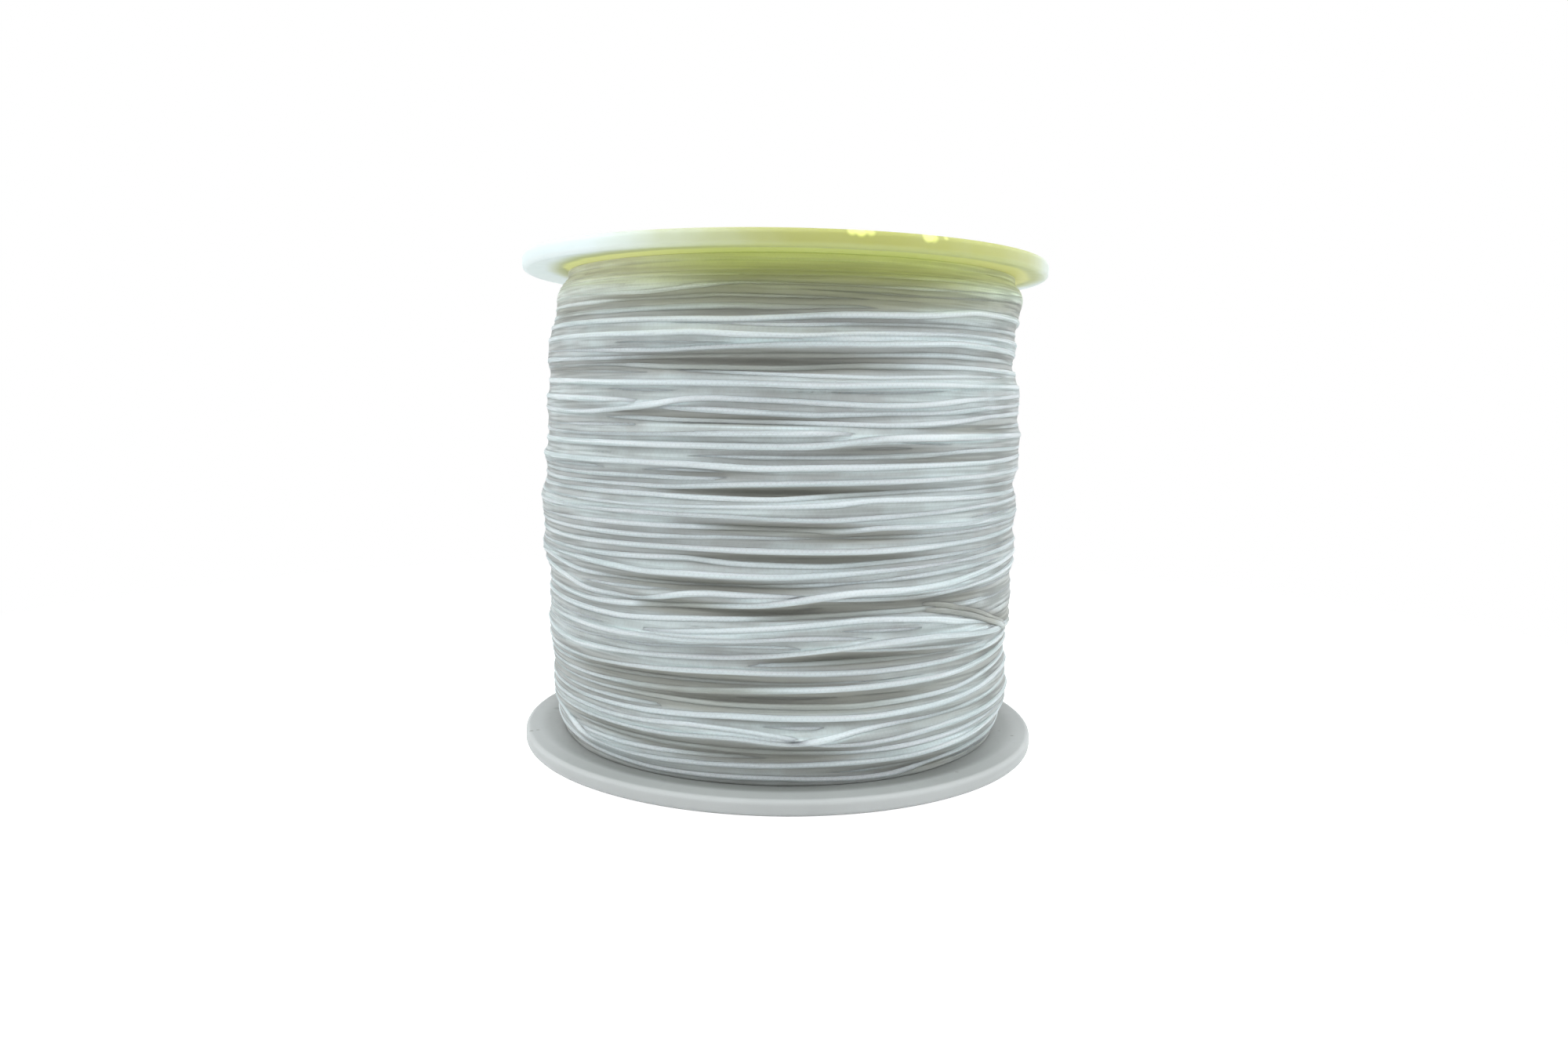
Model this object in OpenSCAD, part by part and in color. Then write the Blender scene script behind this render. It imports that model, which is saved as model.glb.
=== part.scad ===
// Bulk spool of braided fishing line: two moulded flanges snapped into a barrel tube,
// the line wound on the barrel, and a round paper label in each flange.
// Millimetres, +Z along the spool's axis, origin on the axis at the foot of the lower flange.

/* [Flanges] */
// Outside diameter of both flanges
flange_d = 64; // [56:1:80]
// Height of the whole spool, over both flanges
spool_h = 59; // [48:1:80]
// Thickness of a flange at its rim
rim_t = 1.8; // [1.4:0.1:3]
// Depth of the label recess in a flange's outer face
recess_depth = 0.5; // [0.2:0.1:0.8]
// Width of the rim round the label recess
rim_w = 1.6; // [1:0.1:3]
// Rounding of the rim's two outer edges
rim_round = 0.5; // [0.2:0.1:0.6]

/* [Hub] */
// Diameter of the spindle bore
bore_d = 12; // [8:0.5:14]
// Wall of the hub tube round the bore
hub_wall = 1.4; // [1:0.1:2]
// Length of each flange's hub tube, from its outer face
hub_len = 12; // [8:1:16]
// Wall of the collar that plugs into the barrel
collar_wall = 1.2; // [0.8:0.1:1.6]
// How far the collar reaches into the barrel
collar_len = 8; // [7.5:0.5:12]
// Ribs between hub and collar, for each snap hook
ribs_per_hook = 2; // [1:1:2]
// Thickness of a rib
rib_t = 1; // [0.6:0.1:1.4]
// How far the ribs stop short of the collar's end
rib_short = 2; // [1:0.5:3]

/* [Snap fit] */
// Number of snap hooks on each collar
hook_count = 3; // [2:1:4]
// Width of a snap hook
hook_w = 4.5; // [3:0.5:5]
// Length of a hook's ramp, along the axis
hook_ramp = 1.8; // [1:0.1:2.4]
// How far a hook stands out of its collar
hook_out = 0.9; // [0.6:0.1:1]
// Height of a hook's locking face above the flange
hook_level = 4; // [3:0.5:4.5]
// Width of the slot on each side of a hook's tongue
slot_w = 0.8; // [0.5:0.1:1]
// Radial clearance between collar and barrel
fit_gap = 0.1; // [0.05:0.01:0.2]
// Clearance round a hook in its window
window_gap = 0.2; // [0.1:0.05:0.4]

/* [Barrel] */
// Outside diameter of the barrel that the line is wound on
barrel_d = 28; // [26:0.5:36]
// Wall of the barrel
barrel_wall = 1.4; // [1.2:0.1:2]
// Radial clearance of the line in its hole through the barrel
start_hole_gap = 0.3; // [0.2:0.05:0.5]
// Diameter of the knot in the line's first end
knot_d = 2.6; // [2:0.1:3]
// Length of the tail left below the knot
knot_tail = 3.5; // [2:0.5:6]
// Gap between that tail and the collar below it
knot_tail_gap = 0.3; // [0.2:0.1:2]

/* [Line] */
// Diameter of the line
line_d = 0.8; // [0.6:0.1:1.2]
// How far the winding stops short of the flange's rim, at its ends
fill_margin = 4; // [3:0.1:6]
// How much the winding bulges at its middle, on the radius
bulge = 1.3; // [0:0.1:1.5]
// Turns in the outer layer
turns = 22; // [12:1:22]
// How far the outer turns stray up and down from an even pitch
stray = 0.3; // [0:0.05:0.35]
// Clearance of the winding on the barrel, under each flange and between its two layers
lay_gap = 0.05; // [0.02:0.01:0.1]
// How far the last wrap climbs back up the winding
wrap_rise = 21.5; // [16:0.5:28]
// Clearance between the last wrap and the turns that it crosses
wrap_gap = 0.45; // [0.42:0.01:0.6]

/* [Labels] */
// Thickness of a paper label
label_t = 0.15; // [0.1:0.01:0.2]
// How far a label sits off the spool's axis
label_shift = 1.6; // [0:0.1:2]
// Smallest gap between a label and the wall of its recess
label_margin = 0.4; // [0.2:0.1:2]
// Gap between a label's hole and the hub, on top of its shift
label_hub_gap = 0.6; // [0.3:0.1:1.5]

/* [Hidden] */
$fn = 96;
cut = 1;       // how far a cutting shape runs past what it cuts
overlap = 0.1; // how far the shapes of one solid sink into each other

flange_r = flange_d / 2;
recess_r = flange_r - rim_w;
bore_r = bore_d / 2;
hub_r = bore_r + hub_wall;
barrel_r = barrel_d / 2;
barrel_in = barrel_r - barrel_wall;
collar_r = barrel_in - fit_gap;
collar_in = collar_r - collar_wall;
collar_chamfer = 0.4;
inner_low = rim_t;            // the lower flange's inner face
inner_high = spool_h - rim_t; // the upper flange's inner face

rib_count = hook_count * ribs_per_hook;
hook_turn = 180 / rib_count; // a hook stands midway between two ribs
hook_base = rim_t + hook_level;

line_r = line_d / 2;
knot_r = knot_d / 2;
start_angle = 90;
start_z = inner_low + collar_len + knot_tail_gap + knot_tail + knot_r;
lay_low = inner_low + lay_gap;
lay_high = inner_high - lay_gap;
core_steps = 16;
loop_rings = 24; // rings of the line's tube in one loop
tube_sides = 6;
ring_turn = 360 / loop_rings;

// Outer radius of the winding at height z, fuller towards the middle of the spool
function wind_r(z) =
    flange_r - fill_margin + bulge * sin(180 * (z - lay_low) / (lay_high - lay_low));

// Outer radius of the core: it clears the straight stretches between the turns' rings
function core_r(z) = (wind_r(z) - line_r) * cos(ring_turn / 2) - line_r - lay_gap;

// The outer layer runs from the upper flange down to the lower one, as a helix that strays
// from its even pitch by two slow waves. The last wrap goes on from its end, rises on to the
// turns and climbs back. Each point is [angle, radius, height].
turns_end = -270; // angle at which the outer layer ends, at the spool's back
turns_high = lay_high - line_r - stray;
turns_low = lay_low + line_r + stray;
function stray_at(a) = stray * (sin(0.63 * a) + sin(1.29 * a + 50)) / 2;
turns_rings = turns * loop_rings;
turns_path = [
    for (i = [0:turns_rings])
    let (a = i * ring_turn, z = turns_high - (turns_high - turns_low) * i / turns_rings + stray_at(a))
    [turns_end + a - turns * 360, wind_r(z) - line_r, z]
];

// The last wrap's climb: degrees after the outer layer's end, share of its rise.
// It stays low across the front, comes over at the back, and dips across the front to its end.
wrap_climb = [[0, 0], [90, 0.1], [180, 0.27], [255, 0.45], [360, 0.8], [420, 0.95], [460, 1],
              [505, 0.87], [575, 0.86], [615, 0.62]];
wrap_mount = 60; // degrees over which it rises on to the turns
wrap_end = 615;
wrap_from = turns_path[turns_rings][2];
wrap_path = [
    for (a = [ring_turn:ring_turn:wrap_end])
    let (z = wrap_from + wrap_rise * lookup(a, wrap_climb),
         lift = (line_d + wrap_gap) * min(1, a / wrap_mount))
    [turns_end + a, wind_r(z) - line_r + lift, z]
];
line_path = concat(turns_path, wrap_path);

// Least gap between the loops, measured between points at least half a loop apart
line_points = [for (p = line_path) [p[1] * cos(p[0]), p[1] * sin(p[0]), p[2]]];
least_gap = min([
    for (i = [0:len(line_points) - 1], j = [i + loop_rings / 2:1:len(line_points) - 1])
    norm(line_points[i] - line_points[j])
]) - line_d;
echo(least_gap_between_loops = least_gap);

// Points of an arc round a centre
function arc(centre, r, from, to, n = 5) =
    [for (i = [0:n]) let (a = from + (to - from) * i / n) centre + r * [cos(a), sin(a)]];

// Closed tube along a path of [angle, radius, height] that runs anticlockwise from above
module line_tube(path) {
    points = [
        for (p = path, s = [0:tube_sides - 1])
        let (t = 360 * (s + 0.5) / tube_sides, r = p[1] + line_r * cos(t))
        [r * cos(p[0]), r * sin(p[0]), p[2] - line_r * sin(t)]
    ];
    last = (len(path) - 1) * tube_sides;
    walls = [
        for (i = [0:len(path) - 2], s = [0:tube_sides - 1])
        let (a = i * tube_sides + s, b = i * tube_sides + (s + 1) % tube_sides)
        each [[a, b, b + tube_sides], [a, b + tube_sides, a + tube_sides]]
    ];
    caps = [
        for (s = [1:tube_sides - 2])
        each [[0, s + 1, s], [last, last + s, last + s + 1]]
    ];
    polyhedron(points, concat(walls, caps));
}

module at_hooks() {
    for (i = [0:hook_count - 1])
        rotate([0, 0, hook_turn + i * 360 / hook_count]) children();
}

// Plate with its rounded rim and the label recess, lying on its outer face
module flange_plate() {
    rotate_extrude()
        polygon(concat(
            [[0, rim_t], [0, recess_depth], [recess_r, recess_depth], [recess_r, 0]],
            arc([flange_r - rim_round, rim_round], rim_round, -90, 0),
            arc([flange_r - rim_round, rim_t - rim_round], rim_round, 0, 90)));
}

module collar() {
    top = rim_t + collar_len;
    rotate_extrude()
        polygon([[collar_in, rim_t - overlap], [collar_r, rim_t - overlap],
                 [collar_r, top - collar_chamfer], [collar_r - collar_chamfer, top], [collar_in, top]]);
}

module ribs() {
    for (i = [0:rib_count - 1])
        rotate([0, 0, i * 360 / rib_count])
            translate([hub_r - overlap, -rib_t / 2, rim_t - overlap])
                cube([collar_in - hub_r + 2 * overlap, rib_t, collar_len - rib_short + overlap]);
}

// A slot on each side of a tongue lets it bend inwards
module tongue_slots() {
    at_hooks()
        for (y = [-hook_w / 2 - slot_w, hook_w / 2])
            translate([collar_in - cut, y, rim_t + slot_w])
                cube([collar_wall + 2 * cut, slot_w, collar_len]);
}

// Barbs with a flat locking face towards the flange and a ramp towards the collar's end
module hooks() {
    at_hooks()
        translate([0, hook_w / 2, 0])
            rotate([90, 0, 0])
                linear_extrude(hook_w)
                    polygon([[collar_r - collar_wall / 2, hook_base], [collar_r + hook_out, hook_base],
                             [collar_r + fit_gap, hook_base + hook_ramp],
                             [collar_r - collar_wall / 2, hook_base + hook_ramp]]);
}

module flange() {
    difference() {
        union() {
            flange_plate();
            cylinder(r = hub_r, h = hub_len);
            difference() {
                collar();
                tongue_slots();
            }
            ribs();
            hooks();
        }
        translate([0, 0, -cut]) cylinder(r = bore_r, h = hub_len + 2 * cut);
    }
}

// Turns a shape made for the lower end over to the upper end
module at_upper_end() {
    translate([0, 0, spool_h]) mirror([0, 0, 1]) children();
}

module lower_flange() {
    color("whitesmoke") flange();
}

module upper_flange() {
    color("palegoldenrod") at_upper_end() flange();
}

// Openings in the barrel's wall for one flange's hooks
module windows() {
    at_hooks()
        translate([barrel_in - cut, -hook_w / 2 - window_gap, hook_base - window_gap])
            cube([barrel_wall + 2 * cut, hook_w + 2 * window_gap, hook_ramp + 2 * window_gap]);
}

module barrel() {
    color("white")
    difference() {
        translate([0, 0, inner_low]) cylinder(r = barrel_r, h = inner_high - inner_low);
        translate([0, 0, inner_low - cut]) cylinder(r = barrel_in, h = inner_high - inner_low + 2 * cut);
        windows();
        at_upper_end() windows();
        translate([0, 0, start_z])
            rotate([0, 90, start_angle])
                cylinder(r = line_r + start_hole_gap, h = barrel_r + cut);
    }
}

// The inner layers of line, as one plain ring
module line_core() {
    outline = [
        for (i = [0:core_steps])
        let (z = lay_low + (lay_high - lay_low) * i / core_steps) [core_r(z), z]
    ];
    color("gainsboro") rotate_extrude()
        polygon(concat([[barrel_r + lay_gap, lay_high], [barrel_r + lay_gap, lay_low]], outline));
}

module line_outer_turns() {
    color("white") line_tube(line_path);
}

// The line's first end: through the barrel's wall, knotted inside, with a short tail
module line_start_knot() {
    knot_at = barrel_in - knot_r - lay_gap;
    color("white")
    rotate([0, 0, start_angle])
        translate([knot_at, 0, start_z]) {
            sphere(r = knot_r);
            rotate([0, 90, 0]) cylinder(r = line_r, h = barrel_r - knot_at);
            translate([0, 0, -knot_r - knot_tail]) cylinder(r = line_r, h = knot_r + knot_tail);
        }
}

// Paper ring on the floor of the lower flange's recess, shifted off the axis
module label(direction) {
    rotate([0, 0, direction])
        translate([label_shift, 0, recess_depth - label_t])
            difference() {
                cylinder(r = recess_r - label_shift - label_margin, h = label_t);
                translate([0, 0, -cut])
                    cylinder(r = hub_r + label_shift + label_hub_gap, h = label_t + 2 * cut);
            }
}

module top_label() {
    color("khaki") at_upper_end() label(-50);
}

module bottom_label() {
    color("ivory") label(130);
}

lower_flange();
upper_flange();
barrel();
line_core();
line_outer_turns();
line_start_knot();
top_label();
bottom_label();
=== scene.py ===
import math

import bpy
import numpy as np
from mathutils import Matrix, Vector


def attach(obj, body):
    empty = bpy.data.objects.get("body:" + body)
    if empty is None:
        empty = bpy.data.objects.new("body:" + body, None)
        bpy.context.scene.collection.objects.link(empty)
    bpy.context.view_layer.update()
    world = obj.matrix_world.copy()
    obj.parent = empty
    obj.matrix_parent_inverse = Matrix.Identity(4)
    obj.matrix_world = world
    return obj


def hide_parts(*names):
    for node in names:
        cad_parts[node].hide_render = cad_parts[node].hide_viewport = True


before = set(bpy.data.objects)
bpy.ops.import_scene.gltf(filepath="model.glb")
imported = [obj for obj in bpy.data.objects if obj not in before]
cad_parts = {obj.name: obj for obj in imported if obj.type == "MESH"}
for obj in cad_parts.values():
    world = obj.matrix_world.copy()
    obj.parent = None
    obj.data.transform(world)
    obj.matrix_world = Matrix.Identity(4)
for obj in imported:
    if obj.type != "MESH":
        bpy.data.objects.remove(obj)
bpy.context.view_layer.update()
mm = 0.001

# Camera: close in front of the spool, looking slightly down
camera = {
    "place": (0.0, -141.6, 42.65),  # mm
    "lens": 25.57,  # on a sensor of this width
    "sensor": 36.0,
    "pitch": -6.4,  # degrees, below the horizon
    "yaw": 0.14,
    "roll": 0.98,
    "clip": (0.005, 20.0),  # m, nearest and farthest
}


def addCamera():
    # Ahead from pitch and yaw, then right and up turned about it by the roll
    pitch, yaw, roll = (math.radians(camera[key]) for key in ("pitch", "yaw", "roll"))
    ahead = Vector((math.sin(yaw) * math.cos(pitch), math.cos(yaw) * math.cos(pitch), math.sin(pitch)))
    level = Vector((math.cos(yaw), -math.sin(yaw), 0.0))
    above = level.cross(ahead)
    right = level * math.cos(roll) + above * math.sin(roll)
    up = above * math.cos(roll) - level * math.sin(roll)
    data = bpy.data.cameras.new("frontCamera")
    data.sensor_width = camera["sensor"]
    data.lens = camera["lens"]
    data.clip_start, data.clip_end = camera["clip"]
    made = bpy.data.objects.new("frontCamera", data)
    bpy.context.scene.collection.objects.link(made)
    turn = Matrix((right, up, -ahead)).transposed().to_4x4()
    made.matrix_world = Matrix.Translation(Vector(camera["place"]) * mm) @ turn
    bpy.context.scene.camera = made


addCamera()
print("camera set")

# The winding, in mm and degrees; -90 is the front, -168 and -12 the left and right edges as seen from there
winding = {
    "lineRadius": 0.4,
    "uneven": ((0.035, 14), (0.07, 110)),  # share of it by which the line varies, drawn every so many steps
    "unevenEnds": 20.0,  # over so many steps from each end it comes to that
    "settled": 0.30,  # height of a turn's middle over the soft line that it rests on
    "flatness": 1.02,  # width over thickness of the soft line, pressed on the turns below
    "low": 1.85,  # height of the winding's two ends
    "high": 57.15,
    "endMargin": 0.42,  # from those ends to the middle of the nearest turn
    "wallRadius": 14.05,  # inside of the core, on the barrel
    "edgeHeights": (1.85, 3.5, 6.0, 10.0, 14.0, 18.0, 21.0, 24.0, 27.0, 30.0, 33.0, 36.0, 39.0, 42.0, 44.5,
                    47.0, 48.6, 50.0, 53.0, 55.5, 57.15),
    "edgeLeft": (27.7, 28.0, 28.1, 28.5, 29.35, 28.6, 29.3, 29.5, 29.9, 29.9, 29.5, 28.8, 29.1, 29.5, 28.4,
                 29.2, 28.9, 28.4, 28.3, 27.0, 26.3),
    "edgeRight": (27.3, 27.9, 28.9, 28.9, 28.3, 29.6, 29.4, 29.1, 29.2, 29.4, 28.9, 29.5, 29.2, 29.5, 28.8,
                  27.8, 28.7, 28.4, 28.9, 29.1, 27.4),
    "evenness": 0.31,  # share of each turn's rise over the broad surface that is left in the pressed heap
    "evennessAhead": 0.2,  # more of it in front and at the back, where the turns lie looser
    "swelling": 1.12,  # share of the swells below
    "calmAt": (-26.0, 19.9, 17.0, 2.6),  # where the turns lie flat: angle, height, half width and half height
    "calmShare": 0.85,  # how flat they lie there
    "calmAbove": 52.5,  # and from this height up to the flange, growing over so many mm to this share
    "calmGrows": 2.0,
    "calmAboveShare": 0.75,
    "valleyShade": 2.6,  # depth of shade for each mm that the surface is drawn in
    "underDepth": 1.05,  # from the outer edge down to the even turns below
    "underPitch": 0.86,  # height between two of those
    "underStart": -270.0,  # angle where they start, straight behind
    "crestTurn": 0.4,  # how far, in radians, the clean crest of a turn and its painted highlight lie above its middle, towards the light from above
    "crestDulled": 1.6,  # share of that crest lost for each mm of shade added to a turn
    "fastAt": (-13.0, 16.3),  # angle and height where the line's outer end is made fast
    "dent": (1.15, 8.0, 0.9),  # the dent there: depth, half width in degrees, half height
    "groove": (0.35, 0.3, 0.6),  # along the doubled end: depth, how far below it, half height
    "grooveSpan": (-52.0, 14.0, 12.0, 8.0),  # from the dent: start, grows over, end, fades over, in degrees
    "beadPitch": 0.56,  # length of one bead of the braid
    "dive": 14.0,  # over so many degrees both ends of a lay go down into the heap
    "diveDepth": 1.6,
    "topsBlur": 1.0,  # degrees
}
# How the turns stray round the back
stray = {
    "middle": 0.5,  # mm, in the middle lay, and in the outer one
    "outer": 0.75,
    "reach": 96.0,  # from straight behind to where it ends, in degrees, and how many it grows over
    "grows": 34.0,
    "together": ((2, 0.35, 1.0), (3, -0.55, 0.7), (5, 0.23, 0.5)),  # waves round, waves up and share
    "alone": ((2.37, 0.0, 1.0), (4.81, 0.0, 0.8), (9.3, 0.0, 0.5)),
    "shares": (0.45, 0.42),  # of both kinds
    "lead": 60,  # degrees that a lay starts before its first point and ends after its last
    "trail": 3.0,
    "blur": 2.2,
}
# How tension straightens a turn: a mean over so many degrees, so often, and never below what it rests on
tension = {
    "carried": 80,  # steps of the turn before, which each turn is drawn together with
    "passes": 14,
    "width": 3.2,
    "after": 1.4,  # and at the end of each turn, and along the whole lay
    "whole": 1.8,
}
# The line's outer end
tuckedEnd = {
    "span": (-76.0, 26.0, -19.0, 13.0),  # where it lies open, given like grooveSpan
    "over": (0.4, 2.5),  # mm and degrees, the mean of the turns that it lies on
    "lift": 0.3,  # its middle over those
    "depth": 2.6,  # of both its ends below that
    "blur": 2.0,
    "dulled": 0.4,  # added to its shade
    "share": 0.6,  # of its rise that is left
}
# The line pressed together below and between the turns
heap = {
    "soft": (0.42, 1.2),  # how far, in mm and degrees, it is pressed out between the turns
    "broad": (1.3, 2.5),  # and the wide mean that counts as the broad surface
    "depth": 0.01,  # below the soft form
    "shade": 0.4,  # depth of shade for each mm that the soft form lies below the broad one
    "foot": 2.5,  # up to this height, and from the next one, it reaches up to the flange
    "head": 56.5,
    "rise": 0.1,
    "ridgeMean": (0.5, 1.2),  # a ridge is what rises over this mean, over so many mm, up to this share
    "ridgeRise": 0.1,
    "ridgeMost": 0.9,
    "ridgeSoft": (0.1, 0.8),
    "every": (3, 2),  # one grid column and row in so many is kept
    "uvRound": 325.0,  # beads round the ring, and mm to one turn of the braid upwards
    "uvUp": 3.1,
}

# Heights of the last two lays of turns where they cross the front: (angle, height) down each turn.
# The middle lay is wound upwards, the outer lay downwards, and each turn joins the next round the back.
middleRoutes = [
    [(-165, 56.4), (-90, 56.4), (-15, 56.5)],
    [(-165, 55.3), (-120, 55.4), (-60, 55.3), (-15, 55.5)],
    [(-165, 54.5), (-150, 54.4), (-110, 53.9), (-90, 53.5), (-60, 53.2), (-15, 53.9)],
    [(-165, 52.6), (-118, 52.6), (-105, 52.9), (-95, 52.8), (-60, 52.6), (-15, 53.0)],
    [(-165, 51.4), (-130, 51.4), (-110, 51.7), (-100, 51.8), (-90, 51.6), (-60, 51.9), (-15, 51.9)],
    [(-165, 49.9), (-110, 49.8), (-90, 49.7), (-70, 50.2), (-62, 50.4), (-15, 50.5)],
    [(-165, 48.4), (-105, 48.3), (-85, 48.4), (-15, 48.9)],
    [(-165, 46.6), (-130, 46.6), (-110, 46.9), (-78, 47.1), (-55, 47.4), (-15, 47.1)],
    [(-165, 45.9), (-130, 45.9), (-115, 45.5), (-90, 45.4), (-75, 45.9), (-50, 46.1), (-15, 45.8)],
    [(-165, 45.3), (-120, 45.0), (-110, 45.0), (-90, 44.7), (-70, 44.6), (-50, 45.0), (-15, 45.2)],
    [(-165, 43.6), (-140, 43.6), (-125, 43.2), (-90, 43.2), (-70, 43.3), (-55, 43.6), (-15, 43.9)],
    [(-165, 42.4), (-125, 42.1), (-117, 41.7), (-110, 41.4), (-90, 41.0), (-82, 40.9), (-70, 41.2),
     (-55, 41.3), (-40, 41.9), (-15, 42.3)],
    [(-165, 40.5), (-125, 40.3), (-112, 40.1), (-84, 40.0), (-70, 39.9), (-55, 40.2), (-45, 40.6),
     (-38, 41.0), (-15, 41.3)],
    [(-165, 39.5), (-150, 39.3), (-125, 39.5), (-95, 39.8), (-75, 39.3), (-15, 39.8)],
    [(-165, 37.5), (-110, 37.4), (-60, 37.9), (-15, 38.0)],
    [(-165, 35.0), (-125, 35.2), (-110, 35.3), (-60, 35.0), (-15, 35.3)],
    [(-165, 34.3), (-140, 34.1), (-125, 34.3), (-108, 34.1), (-90, 34.4), (-15, 34.2)],
    [(-165, 32.2), (-120, 32.4), (-110, 32.2), (-92, 32.1), (-78, 32.6), (-60, 33.1), (-15, 33.4)],
    [(-165, 29.8), (-140, 29.9), (-90, 29.6), (-15, 30.2)],
    [(-165, 28.1), (-120, 28.1), (-100, 28.5), (-65, 28.4), (-30, 28.8), (-15, 28.8)],
    [(-165, 25.6), (-130, 25.6), (-110, 26.0), (-100, 25.5), (-80, 25.3), (-62, 25.8), (-35, 26.4),
     (-15, 26.5)],
    [(-165, 22.3), (-120, 22.3), (-90, 22.3), (-60, 21.6), (-15, 22.6)],
    [(-165, 19.4), (-125, 19.0), (-110, 19.5), (-90, 19.9), (-70, 20.4), (-50, 20.4), (-15, 20.6)],
    [(-165, 18.9), (-120, 18.6), (-90, 18.9), (-60, 18.7), (-15, 19.2)],
    [(-165, 16.4), (-120, 16.5), (-112, 16.8), (-105, 17.2), (-90, 17.3), (-60, 16.3), (-40, 15.8),
     (-15, 16.6)],
    [(-165, 14.6), (-120, 14.6), (-90, 15.0), (-50, 15.4), (-15, 15.2)],
    [(-165, 12.6), (-135, 12.6), (-110, 12.8), (-70, 13.1), (-15, 13.6)],
    [(-165, 10.6), (-125, 10.7), (-105, 10.4), (-72, 10.3), (-45, 10.9), (-30, 11.8), (-15, 12.2)],
    [(-165, 9.6), (-120, 9.7), (-90, 9.9), (-60, 9.4), (-15, 10.4)],
    [(-165, 7.4), (-120, 7.3), (-90, 7.1), (-60, 7.5), (-15, 8.0)],
    [(-165, 6.0), (-130, 5.8), (-100, 5.7), (-65, 5.6), (-45, 6.0), (-30, 6.7), (-15, 7.0)],
    [(-165, 5.0), (-130, 4.6), (-100, 4.8), (-60, 5.2), (-15, 5.6)],
    [(-165, 3.4), (-105, 3.2), (-75, 3.2), (-60, 3.4), (-15, 3.2)],
    [(-165, 2.4), (-90, 2.4), (-15, 2.4)],
]
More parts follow.
